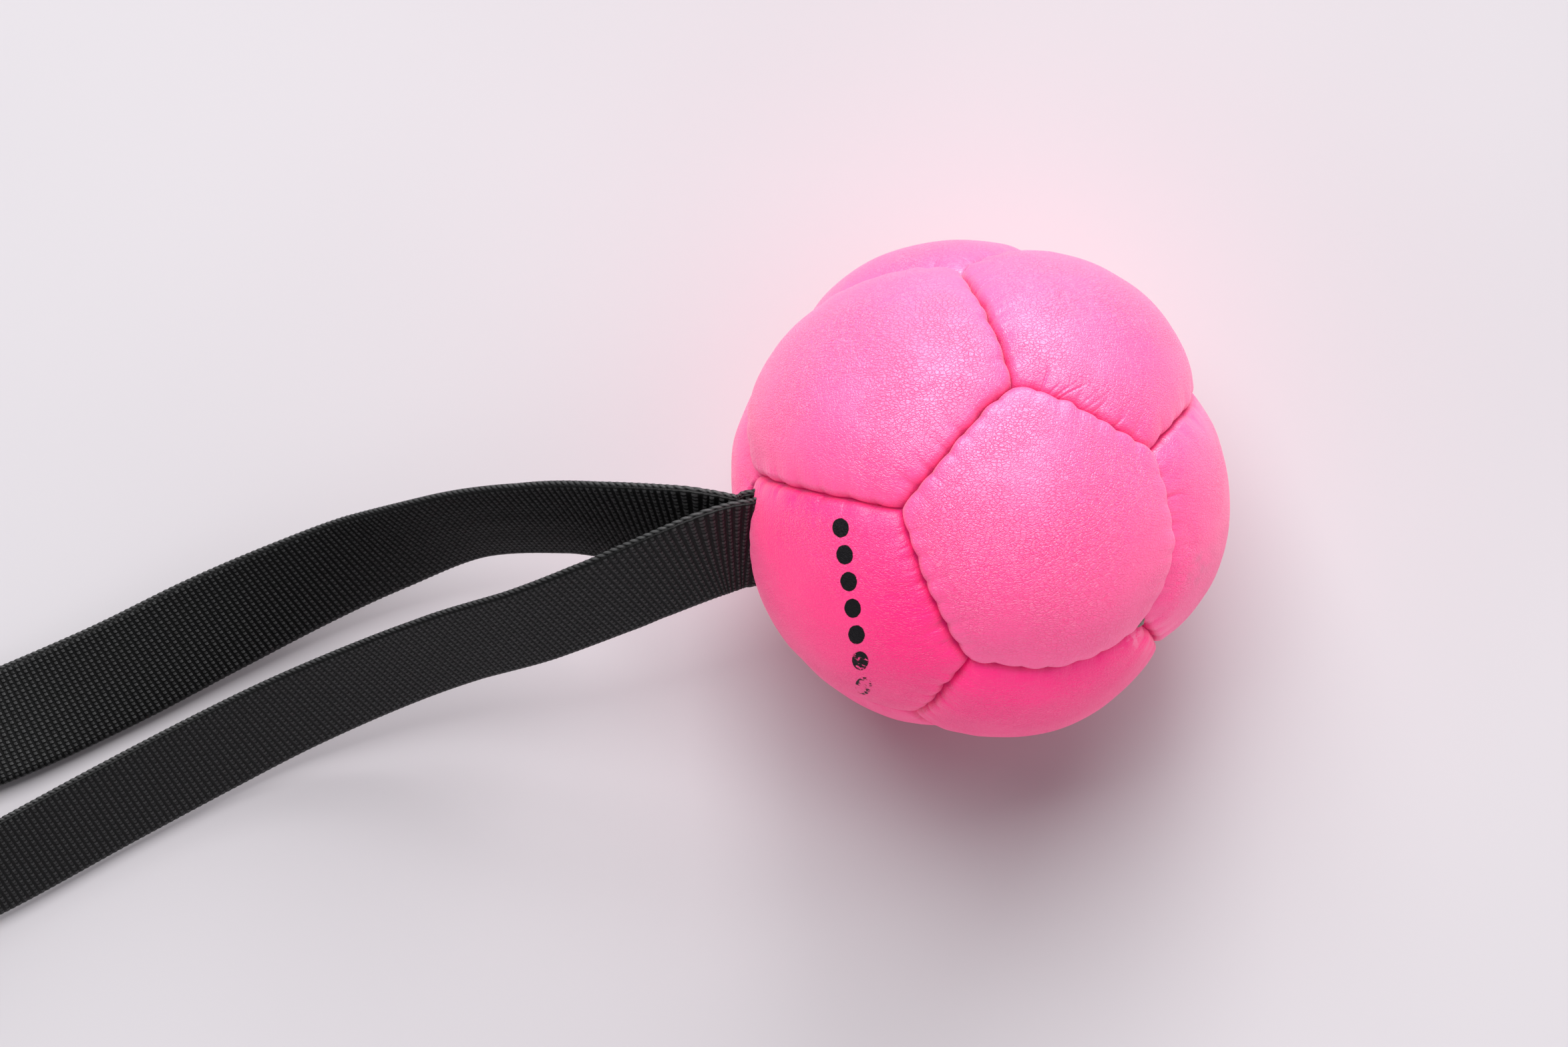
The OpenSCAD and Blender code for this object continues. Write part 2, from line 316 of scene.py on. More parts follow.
def panel_grid(n):
    """A pentagon of five kite-shaped grids, its edges 1 from its middle.

    Gives its points in the plane, its faces, the edge that each face is nearest, the points of its
    outer ring in order, and each point's level: 0 in the middle and 1 on an edge."""
    corner_r = 1 / math.cos(math.radians(36))
    points, quads, edges = [], [], []
    steps = np.linspace(0, 1, n + 1)
    for k in range(5):
        a, b = math.radians(72 * k), math.radians(72 * k + 72)
        corner = np.array([math.cos(a + math.radians(36)), math.sin(a + math.radians(36))]) * corner_r
        first = np.array([math.cos(a), math.sin(a)])
        second = np.array([math.cos(b), math.sin(b)])
        u, v = np.meshgrid(steps, steps, indexing="ij")
        u, v = u[..., None], v[..., None]
        kite = (u * (1 - v) * first + u * v * corner + (1 - u) * v * second).reshape(-1, 2)
        start = len(points) * (n + 1) ** 2
        index = np.arange((n + 1) ** 2).reshape(n + 1, n + 1) + start
        quads.append(np.stack([index[:-1, :-1], index[1:, :-1], index[1:, 1:], index[:-1, 1:]], -1)
                     .reshape(-1, 4))
        i, j = np.meshgrid(np.arange(n), np.arange(n), indexing="ij")
        edges.append(np.where(i >= j, k, (k + 1) % 5).ravel())
        points.append(kite)
    points, quads, edges = np.vstack(points), np.vstack(quads), np.concatenate(edges)
    _, keep, same = np.unique(np.round(points, 7), axis=0, return_index=True, return_inverse=True)
    points, quads = points[keep], same.ravel()[quads]
    level = np.max([points @ [math.cos(math.radians(72 * k)), math.sin(math.radians(72 * k))]
                    for k in range(5)], axis=0)
    ring = np.nonzero(level > 1 - 1e-6)[0]
    ring = ring[np.argsort(np.arctan2(points[ring, 1], points[ring, 0]))]
    return points, quads, edges, ring, level


def on_panel(flat, level):
    """Directions in a panel's frame for points of the flat pentagon, even along its seams."""
    q = 1 - level
    inward = EDGE_MIDDLE * (0.35 * q + 0.65 * q * q) + HALF_GAP
    around = np.arctan2(flat[:, 1], flat[:, 0])
    from_edge = (around + math.radians(36)) % math.radians(72) - math.radians(36)
    lean = math.radians(PANEL_TO_EDGE)
    a, b = math.sin(lean), math.cos(lean) * np.cos(from_edge)
    size = np.hypot(a, b)
    polar = np.arccos(np.clip(inward / SEAM_R / size, -1, 1)) - np.arctan2(b, a)
    polar = np.maximum(polar, 0)
    out = np.sin(polar)
    return np.column_stack([out * np.cos(around), out * np.sin(around), np.cos(polar)])


def seam_places(directions):
    """For each of the five seams: the distance from it and the place along it, in mm."""
    rows = []
    for edge in range(5):
        local = directions @ seam_frame(edge)
        rows.append((-SEAM_R * local[:, 0], SEAM_R * np.arctan2(local[:, 1], local[:, 2])))
    away, along = zip(*rows)
    return np.array(away), np.array(along)


def crown_height(directions):
    """The distance from the ball's centre to the plain crown."""
    side = np.hypot(directions[:, 0], directions[:, 1])
    return CROWN_CENTRE * directions[:, 2] + np.sqrt(CROWN_R ** 2 - (CROWN_CENTRE * side) ** 2)


ROLL_DEPTH, ROLL_W = 1.7, 1.2                        # the leather turning down into a seam
GROOVE_DEPTH, GROOVE_W = 0.55, 3.2                   # the soft hollow along a seam
SCALLOP = 0.33                                       # how far a proud edge bulges between stitches

# Creases that run from a seam into a panel: panel, edge, then for each crease its place along the
# seam, its length, its lean and its depth
CREASES = {
    ("upper_panel_2", 0): [(-9.0, 3.9, -0.1, 0.6), (-10.2, 1.5, -0.3, 0.3), (-7.6, 1.9, 0.5, 0.35),
                           (-6.6, 2.3, 0.8, 0.4), (-5.8, 3.2, 1.0, 0.4), (-1.9, 3.4, 0.6, 0.14),
                           (-0.9, 4.2, 0.8, 0.16), (0.6, 2.6, 0.7, 0.2), (5.8, 1.6, 0.4, 0.35)],
    ("upper_panel_1", 0): [(-6.5, 4.2, -0.1, 0.24), (-3.4, 2.6, -0.15, 0.16), (-1.2, 2.4, 0.1, 0.14),
                           (0.8, 3.0, -0.1, 0.2), (4.6, 2.6, 0.1, 0.14), (7.8, 3.4, 0.2, 0.18)],
    ("upper_panel_4", 0): [(-9.2, 3.0, 0.2, 0.2), (-6.6, 3.6, 0.1, 0.18), (-3.4, 3.2, 0.2, 0.16),
                           (0.6, 3.0, 0.15, 0.2), (4.2, 3.4, 0.1, 0.14), (8.2, 2.6, -0.1, 0.18)],
}


def from_any_seam(away):
    """The distance from the nearest seam, rounded off at the corners."""
    return np.sum(np.maximum(away, 0.05) ** -4.0, axis=0) ** -0.25


def panel_height(name, directions, seed):
    """How far the leather of a panel is from the ball's centre."""
    away, along = seam_places(directions)
    rng = np.random.default_rng(seed)
    height = crown_height(directions)
    on_ball = directions * SEAM_R
    height += 0.22 * lumps(on_ball, 24, seed) + 0.06 * lumps(on_ball, 9, seed + 50)
    soft = from_any_seam(away)
    height += SEAM_LIFT + TEMPER[name][1] * (1 - np.exp(-soft / 2.4))
    for edge in range(5):
        x, s = away[edge], along[edge]
        other = other_panel(name, edge)
        under = np.clip(0.5 + proud(other) - proud(name), 0.0, 1.3)
        # the soft hollow is deeper on the side that lies under
        height -= GROOVE_DEPTH * 2 * under * np.exp(-x / (GROOVE_W * (0.6 + 0.8 * under)))
        # the leather rises a little between each two stitches
        lobe = np.interp(s, np.arange(-4, 5) * STITCH_PITCH, rng.uniform(0.2, 0.65, 9))
        height += lobe * between_stitches(s) * np.exp(-x / 1.8)
        # creases at the stitches
        for stitch in np.arange(-2.5, 3) * STITCH_PITCH:
            place = stitch + rng.uniform(-0.4, 0.4)
            length = rng.uniform(1.2, 2.6) * (0.6 + 0.8 * under)
            depth = rng.uniform(0.03, 0.13) * (0.4 + under)
            lean = rng.uniform(-0.25, 0.25)
            height -= depth * np.exp(-((s - place - lean * x) / 0.4) ** 2) * np.exp(-(x / length) ** 2)
        for place, length, lean, depth in CREASES.get((name, edge), ()):
            height -= depth * np.exp(-((s - place - lean * x) / 0.18) ** 2) * np.exp(-(x / length) ** 4)
    step = np.clip(1 - soft / ROLL_W, 0, 1)
    height -= ROLL_DEPTH * (1 - np.sqrt(1 - step * step))
    return height


def between_stitches(s):
    """0 at each stitch and 1 half-way between two."""
    return np.abs(np.cos(math.pi * s / STITCH_PITCH))


def scalloped(name, directions, points):
    """Pushes each seam a little towards the panel that lies under, between the stitches."""
    away, along = seam_places(directions)
    for edge in range(5):
        lead = proud(name) - proud(other_panel(name, edge))
        push = SCALLOP * lead * (between_stitches(along[edge]) - 0.6) * np.exp(-away[edge] / 1.5)
        points = points + push[:, None] * (PANELS[name] @ seam_frame(edge))[:, 0]
    return points


LIP_OPENING = 1.75                                   # how far each lip is pushed from the webbing


def open_for_strap(name, directions, points):
    """Parts the two panels' lips where the webbing goes in between them."""
    if name not in STRAP_PANELS:
        return points
    away, along = seam_places(directions)
    push = LIP_OPENING * np.exp(-away[2] / 5) * (1 - smooth_step(np.abs(along[2]), 8.5, 13.5))
    side = -1 if name == STRAP_PANELS[0] else 1
    return points + side * push[:, None] * ACROSS


TORN_CORNER = ("top_panel", "upper_panel_1", "upper_panel_5")
TEAR_OPENING, TEAR_SPREAD = 1.25, 1.1


def open_torn_corner(name, points):
    """Draws the three panels back from the corner where a few stitches have gone."""
    if name not in TORN_CORNER:
        return points
    corner = meeting_place(TORN_CORNER)
    corner = pulled(corner[None])[0]
    near = np.exp(-np.sum((points - corner) ** 2, axis=1) / (2 * TEAR_SPREAD ** 2))
    normal = unit(corner)
    back = PANELS[name][:, 2] * BALL_R - corner
    back = unit(back - (back @ normal) * normal)
    return points + TEAR_OPENING * near[:, None] * back


PRINTED_PANEL = "upper_panel_4"
PRINT_MIDDLE = np.array([-20.6, -18.7])              # seen from above, as is the way the row runs
PRINT_WAY = unit(np.array([0.15, -0.98]))
PRINT_SLOPE = np.array([1.25, 1.05])                 # how far the panel's slope draws the print out
MARKS = {                                            # where the leather is worn, and how widely
    "scuffed": ((25.2, -24.2, 59), 1.9),
    "smudged": ((34.0, -12.4, 54), 2.4),
}


def print_places(world):
    """Across and along the printed row, in mm from its middle."""
    from_middle = world[:, :2] - PRINT_MIDDLE
    across = from_middle @ np.array([-PRINT_WAY[1], PRINT_WAY[0]])
    along = from_middle @ PRINT_WAY
    return np.column_stack([across * PRINT_SLOPE[0], along * PRINT_SLOPE[1], np.zeros(len(world))])


SKIRT_RINGS = 5


def build_panel(name, n, seed):
    """One panel of leather: its crown, its edge folded in along the seams, and its thickness."""
    flat, quads, edges, ring, level = panel_grid(n)
    directions = on_panel(flat, level)
    height = panel_height(name, directions, seed)
    points = directions * height[:, None]
    # the folded-in edge: more rings, straight down along the seam
    layers = [points]
    last = ring
    count = len(points)
    for k in range(1, SKIRT_RINGS + 1):
        down = height[ring] + (SKIRT_R - height[ring]) * k / SKIRT_RINGS
        layers.append(directions[ring] * down[:, None])
        index = np.arange(len(ring)) + count
        quads = np.vstack([quads, np.column_stack([last, index, np.roll(index, -1), np.roll(last, -1)])])
        count += len(ring)
        last = index
    points = np.vstack(layers)
    directions = np.vstack([directions] + [directions[ring]] * SKIRT_RINGS)
    world = points @ PANELS[name].T
    world = pulled(scalloped(name, directions, world))
    world = open_for_strap(name, directions, world)
    world = open_torn_corner(name, world) + BALL_CENTRE
    world[:, 2] = np.maximum(world[:, 2], 0)
    panel = add_mesh(name.replace("panel", "leather"), world, quads)
    away, along = seam_places(directions)
    # the place beside the nearest seam, for each face's corners, for the material's fine creases and its
    # painted seam shade
    corners = np.zeros((len(quads), 4, 3))
    nearest = np.concatenate([edges, np.zeros(len(quads) - len(edges), int)])
    for k in range(4):
        vertex = quads[:, k]
        corners[:, k, 0] = away[nearest, vertex]
        corners[:, k, 1] = along[nearest, vertex]
        corners[:, k, 2] = nearest * 7
    place = panel.data.attributes.new("seam_place", "FLOAT_VECTOR", "CORNER")
    place.data.foreach_set("vector", corners.astype(np.float32).ravel())
    # where a prouder neighbour rolls over this panel, the painted seam shade reaches further in
    under = [max(0, proud(other_panel(name, edge)) - proud(name)) for edge in range(5)]
    add_number(panel, "from_seam", from_any_seam(away - 0.5 * np.array(under)[:, None]))
    add_number(panel, "depth_of_pink", np.full(len(world), TEMPER[name][2]))
    if name == PRINTED_PANEL:
        add_vector(panel, "print_place", print_places(world))
    for mark, (where, width) in MARKS.items():
        add_number(panel, mark, np.exp(-np.sum((world - where) ** 2, axis=1) / (2 * width ** 2)))
    thicken = panel.modifiers.new("thickness", "SOLIDIFY")
    thicken.thickness = LEATHER_T * MM
    thicken.offset = -1
    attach(panel, "ball")
    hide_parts(name)
    return panel


PANEL_GRID = 64
FINE_GRID = 92                                       # for the panel with the sharpest creases
LEATHER = {}
for k, name in enumerate(PANEL_NAMES):
    LEATHER[name] = build_panel(name, FINE_GRID if name == "upper_panel_2" else PANEL_GRID, 100 + k)

# ---------------------------------------------------------------- inside the ball


def build_filling():
    """The wad of fibre: lumpy, one piece, a little smaller than the leather all round."""
    points, faces = [], []
    for name in PANEL_NAMES:
        flat, quads, _, _, level = panel_grid(14)
        flat = flat * (1 + 0.004 * level[:, None])    # out to the seams' own planes
        directions = on_panel(flat, np.minimum(level * 1.004, 1))
        away, _ = seam_places(directions)
        nearest = np.min(away, axis=0)
        height = crown_height(directions) - 2.0 - 4.0 * np.exp(-(nearest / 2.6) ** 2)
        faces.append(quads + sum(len(p) for p in points))
        points.append(pulled(directions @ PANELS[name].T * height[:, None]))
    points = np.vstack(points)
    points *= 1 + 0.006 * lumps(points, 6, 7)[:, None]
    world = points + BALL_CENTRE
    world[:, 2] = np.maximum(world[:, 2], 1.2)
    filling = add_mesh("fibre_wad", world, np.vstack(faces))
    joined = bmesh.new()
    joined.from_mesh(filling.data)
    bmesh.ops.remove_doubles(joined, verts=joined.verts, dist=0.35 * MM)
    joined.to_mesh(filling.data)
    joined.free()
    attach(filling, "ball")
    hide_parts("fibre_filling")
    return filling


FILLING = build_filling()

# ---------------------------------------------------------------- tubes, and the loose fibre


def tube_faces(rings, sides):
    """Faces of a tube of rings, each of the given number of points, closed at both ends."""
    index = np.arange(rings * sides).reshape(rings, sides)
    a, b = index[:-1], index[1:]
    walls = np.stack([a, np.roll(a, -1, 1), np.roll(b, -1, 1), b], -1).reshape(-1, 4)
    caps = []
    for start, way in ((0, -1), ((rings - 1) * sides, 1)):
        for k in range(sides // 2 - 1):
            cap = [start + k, start + k + 1, start + sides - 2 - k, start + sides - 1 - k]
            caps.append(cap[::way])
    return np.vstack([walls, caps])


def tube(line, radius, sides=6):
    """A thin closed tube along a line, tapered to its ends: its points and faces."""
    line = np.asarray(line, float)
    heading = unit(np.gradient(line, axis=0))
    side = unit(np.cross(heading, [0.31, 0.22, 0.93]))
    up = np.cross(heading, side)
    around = np.arange(sides) * 2 * math.pi / sides
    taper = radius * np.sqrt(np.clip(np.sin(np.linspace(0.06, math.pi - 0.06, len(line))), 0, 1))
    rings = (line[:, None] + taper[:, None, None] * (np.cos(around)[:, None] * side[:, None]
                                                     + np.sin(around)[:, None] * up[:, None]))
    return rings.reshape(-1, 3), tube_faces(len(line), sides)


def merged(tubes):
    """One set of points and faces from several."""
    points, faces, count = [], [], 0
    for some_points, some_faces in tubes:
        points.append(some_points)
        faces.append(some_faces + count)
        count += len(some_points)
    return np.vstack(points), np.vstack(faces)


LOOSE_FIBRES = 170


def build_loose_fibre():
    """A tuft of the filling that shows where the torn corner gapes."""
    rng = np.random.default_rng(11)
    corner = pulled(meeting_place(TORN_CORNER)[None])[0]
    out = unit(corner)
    side = unit(np.cross(out, [0, 0, 1]))
    up = np.cross(side, out)
    tubes = []
    for _ in range(LOOSE_FIBRES):
        start = rng.normal(size=2) * 0.42
        way = rng.uniform(0, 2 * math.pi)
        bend = rng.uniform(-2.5, 2.5)
        length = rng.uniform(0.8, 1.7)
        line = []
        for t in np.linspace(-0.5, 0.5, 7):
            a = start[0] + length * t * math.cos(way + bend * t)
            b = start[1] + length * t * math.sin(way + bend * t)
            lift = -1.1 + rng.uniform(-0.1, 0.1) - 0.35 * (a * a + b * b) + 0.5 * math.cos(3 * t + bend)
            line.append(corner + a * side + b * up + lift * out)
        tubes.append(tube(line, rng.uniform(0.035, 0.06)))
    points, faces = merged(tubes)
    tuft = add_mesh("loose_fibre", points + BALL_CENTRE, faces)
    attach(tuft, "ball")
    return tuft


LOOSE_FIBRE = build_loose_fibre()

# ---------------------------------------------------------------- webbing

WEB_W = 18.2                                         # between its two twisted edges
WEB_HALF_T = 0.55                                    # of the cloth under the ribs
RIB_PITCH = 1.08                                     # one rib of the weave, along the webbing
RIB_HEIGHT = 0.36
YARN_PITCH = 0.72                                    # one yarn's knuckle, across it
UNDER = 0.7                                          # a knuckle's height where its yarn lies under a
                                                     # rib, against 1 where it lies over
EDGE_PITCH = 2.16                                    # one turn of the two strands along each edge
EDGE_R = 0.38
EDGE_SIDES = 16                                      # points round one twisted edge
COLUMNS = 56                                         # points across one face of the webbing


def bend_at_fold(piece):
    """Bakes the piece's placing into its points."""
    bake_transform(piece)


def weave_height(along, across):
    """The webbing's ribs, higher where a yarn lies over than where it lies under."""
    rib = (0.5 + 0.5 * np.cos(2 * math.pi * along / RIB_PITCH)) ** 0.8
    over = np.cos(math.pi * (across / YARN_PITCH + np.round(along / RIB_PITCH)))
    return rib * ((1 + UNDER) / 2 + (1 - UNDER) / 2 * over)


def woven_strip(name, run, middle, wide, face):
    """A closed strip of the webbing along a line, with its weave on both faces."""
    across = np.linspace(-WEB_W / 2, WEB_W / 2, COLUMNS)
    rings, marks = [], []
    for side, columns in ((1, across), (-1, across[::-1])):
        u, v = np.meshgrid(run, columns, indexing="ij")
        # the ribs run about 3 degrees off square
        along = u + v * 0.05
        from_edge = smooth_step(WEB_W / 2 - np.abs(v), 0, 0.5)
        half = WEB_HALF_T + RIB_HEIGHT * weave_height(along, v) * from_edge
        rings.append(middle[:, None] + v[..., None] * wide[:, None]
                     + (side * half)[..., None] * face[:, None])
        marks.append(np.stack([along, v, np.full_like(u, side)], -1))
    points, marks = np.concatenate(rings, 1), np.concatenate(marks, 1)
    strip = add_mesh(name, points.reshape(-1, 3), tube_faces(len(run), 2 * COLUMNS))
    add_vector(strip, "weave_place", marks.reshape(-1, 3))
    return strip


def twisted_edge(name, side, run, middle, wide, face):
    """Two strands twisted round each other along one edge of the webbing."""
    around = np.arange(EDGE_SIDES) * 2 * math.pi / EDGE_SIDES
    twist = side * 2 * math.pi * run / EDGE_PITCH
    turned = around[None] - twist[:, None]
    radius = EDGE_R * (0.72 + 0.42 * np.abs(np.cos(turned)))
    centre = middle + side * (WEB_W / 2 + 0.05) * wide
    points = (centre[:, None] + (radius * np.cos(around))[..., None] * wide[:, None]
              + (radius * np.sin(around))[..., None] * face[:, None])
    edge = add_mesh(name, points.reshape(-1, 3), tube_faces(len(run), EDGE_SIDES))
    add_number(edge, "strand", (0.5 + 0.5 * np.cos(2 * turned)).ravel())
    return edge


def tail_line(side):
    """The straight line of one cut end of the webbing, from inside the ball to the seam."""
    run = np.arange(0, STRAP_START_R - TAIL_END_R + 0.6, RIB_PITCH / 4)
    middle = BALL_CENTRE + OUTWARD * (TAIL_END_R + run[:, None]) + side * STRAP_HALF_T * ACROSS
    return run, middle, np.tile(ALONG, (len(run), 1)), np.tile(ACROSS, (len(run), 1))


def joined(name, pieces):
    """One object of several closed ones, with their attributes."""
    with bpy.context.temp_override(active_object=pieces[0], selected_editable_objects=pieces):
        bpy.ops.object.join()
    pieces[0].name = name
    return pieces[0]


LOOP_LINE = webbing_line(RIB_PITCH / 4)
WEBBING = woven_strip("webbing", *LOOP_LINE)
WEB_EDGES = [twisted_edge("webbing_edge_upper", 1, *LOOP_LINE),
             twisted_edge("webbing_edge_lower", -1, *LOOP_LINE)]
for piece in (WEBBING, *WEB_EDGES):
    bend_at_fold(piece)
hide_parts("strap_loop")

TAILS = joined("webbing_tails", [woven_strip("tail", *tail_line(side)) for side in (-1, 1)])
TAIL_EDGES = joined("webbing_tail_edges", [twisted_edge("tail_edge", edge, *tail_line(side))
                                           for side in (-1, 1) for edge in (-1, 1)])
for piece in (TAILS, TAIL_EDGES):
    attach(piece, "ball")
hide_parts("strap_tails")

# ---------------------------------------------------------------- materials


class Shading:
    """A material being made: short calls that add a node and join it up."""

    def __init__(self, name, colour, roughness, specular=0.5):
        self.material = bpy.data.materials.new(name)
        self.material.use_nodes = True
        self.tree = self.material.node_tree
        self.shader = self.tree.nodes["Principled BSDF"]
        self.shader.inputs["Base Color"].default_value = (*colour, 1)
        self.shader.inputs["Roughness"].default_value = roughness
        self.shader.inputs["Specular IOR Level"].default_value = specular

    def join(self, value, socket):
        if isinstance(value, bpy.types.NodeSocket):
            self.tree.links.new(value, socket)
        elif isinstance(value, tuple) and len(value) == 3 and socket.type == "RGBA":
            socket.default_value = (*value, 1)
        else:
            socket.default_value = value

    def node(self, kind, settings=None, **inputs):
        made = self.tree.nodes.new(kind)
        for key, value in (settings or {}).items():
            setattr(made, key, value)
        for key, value in inputs.items():
            self.join(value, made.inputs[key])
        return made

    def maths(self, operation, a, b=0.0, c=0.0, clamp=False):
        made = self.node("ShaderNodeMath", {"operation": operation, "use_clamp": clamp})
        for place, value in enumerate((a, b, c)):
            self.join(value, made.inputs[place])
        return made.outputs[0]

    def vector_maths(self, operation, a, b):
        made = self.node("ShaderNodeVectorMath", {"operation": operation})
        self.join(a, made.inputs[0])
        self.join(b, made.inputs[1])
        return made.outputs[0]

    def place(self):
        """The surface point, in metres in the object's own frame."""
        return self.node("ShaderNodeTexCoord").outputs["Object"]

    def attribute(self, name):
        return self.node("ShaderNodeAttribute", {"attribute_name": name})

    def parts(self, vector):
        return self.node("ShaderNodeSeparateXYZ", Vector=vector).outputs

    def combine(self, x=0.0, y=0.0, z=0.0):
        return self.node("ShaderNodeCombineXYZ", X=x, Y=y, Z=z).outputs[0]

    def noise(self, vector, scale, detail=2.0, roughness=0.5):
        made = self.node("ShaderNodeTexNoise", Vector=vector, Scale=scale, Detail=detail,
                         Roughness=roughness)
        return made.outputs["Fac"]

    def cells(self, vector, scale):
        """The distance from the edges of small cells."""
        made = self.node("ShaderNodeTexVoronoi", {"feature": "DISTANCE_TO_EDGE"},
                         Vector=vector, Scale=scale)
        return made.outputs["Distance"]

    def between(self, value, low, high, to_low=0.0, to_high=1.0):
        made = self.node("ShaderNodeMapRange", {"interpolation_type": "SMOOTHSTEP"})
        for key, number in zip(("Value", "From Min", "From Max", "To Min", "To Max"),
                               (value, low, high, to_low, to_high)):
            self.join(number, made.inputs[key])
        return made.outputs[0]

    def mix(self, factor, a, b):
        """Colour a where the factor is 0, b where it is 1."""
        made = self.node("ShaderNodeMix", {"data_type": "RGBA"})
        self.join(factor, made.inputs[0])
        self.join(a, made.inputs[6])
        self.join(b, made.inputs[7])
        return made.outputs[2]

    def bump(self, height, distance, strength=1.0, below=None):
        made = self.node("ShaderNodeBump", Height=height, Distance=distance, Strength=strength)
        if below is not None:
            self.join(below, made.inputs["Normal"])
        return made.outputs[0]

    def finish(self, colour=None, roughness=None, normal=None):
        if colour is not None:
            self.join(colour, self.shader.inputs["Base Color"])
        if roughness is not None:
            self.join(roughness, self.shader.inputs["Roughness"])
        if normal is not None:
            self.join(normal, self.shader.inputs["Normal"])
        return self.material


PINK = (1.0, 0.065, 0.28)
FULL_PINK = (1.0, 0.0, 0.15)
# painted shade: the deep pink along the seams and stitches
SEAM_SHADE_PINK = (0.62, 0.0, 0.16)
PALE_PINK = (1.0, 0.45, 0.66)
PAINTED_GLOW = (1.0, 0.0, 0.25)                              # painted glow: the leather gives off pink light of its own, even in shade, a fixed stand-in for its fluorescent dye
SEAM_SHADE_GLOW = (0.30, 0.0, 0.08)                        # the painted glow, dimmer in the seams' painted shade
SHEEN = 0.30
INK = (0.012, 0.011, 0.013)
DOT_R, DOT_PITCH, DOTS_EACH_WAY = 1.55, 4.4, 3


def printed_dots(m):
    """How much ink there is: a plain row of dots, worn away towards one end."""
    across, along, _ = m.parts(m.attribute("print_place").outputs["Vector"])
    step = m.maths("DIVIDE", along, DOT_PITCH)
    nearest = m.maths("MINIMUM", m.maths("ROUND", step), DOTS_EACH_WAY)
    nearest = m.maths("MAXIMUM", nearest, -DOTS_EACH_WAY)
    from_dot = m.maths("MULTIPLY", m.maths("SUBTRACT", step, nearest), DOT_PITCH)
    place = m.combine(across, from_dot)
    radius = m.node("ShaderNodeVectorMath", {"operation": "LENGTH"}, Vector=place).outputs["Value"]
    ragged = m.noise(m.place(), 1500.0, 3.0)
    edge = m.maths("MULTIPLY_ADD", ragged, 0.25, radius)
    ink = m.between(edge, DOT_R + 0.24, DOT_R + 0.10)
    worn = m.between(along, 2.0, 15.0, 0.28, 0.56)
    kept = m.between(m.maths("SUBTRACT", m.noise(m.place(), 900.0, 5.0, 0.7), worn), -0.06, 0.03)
    return m.maths("MULTIPLY", ink, kept)


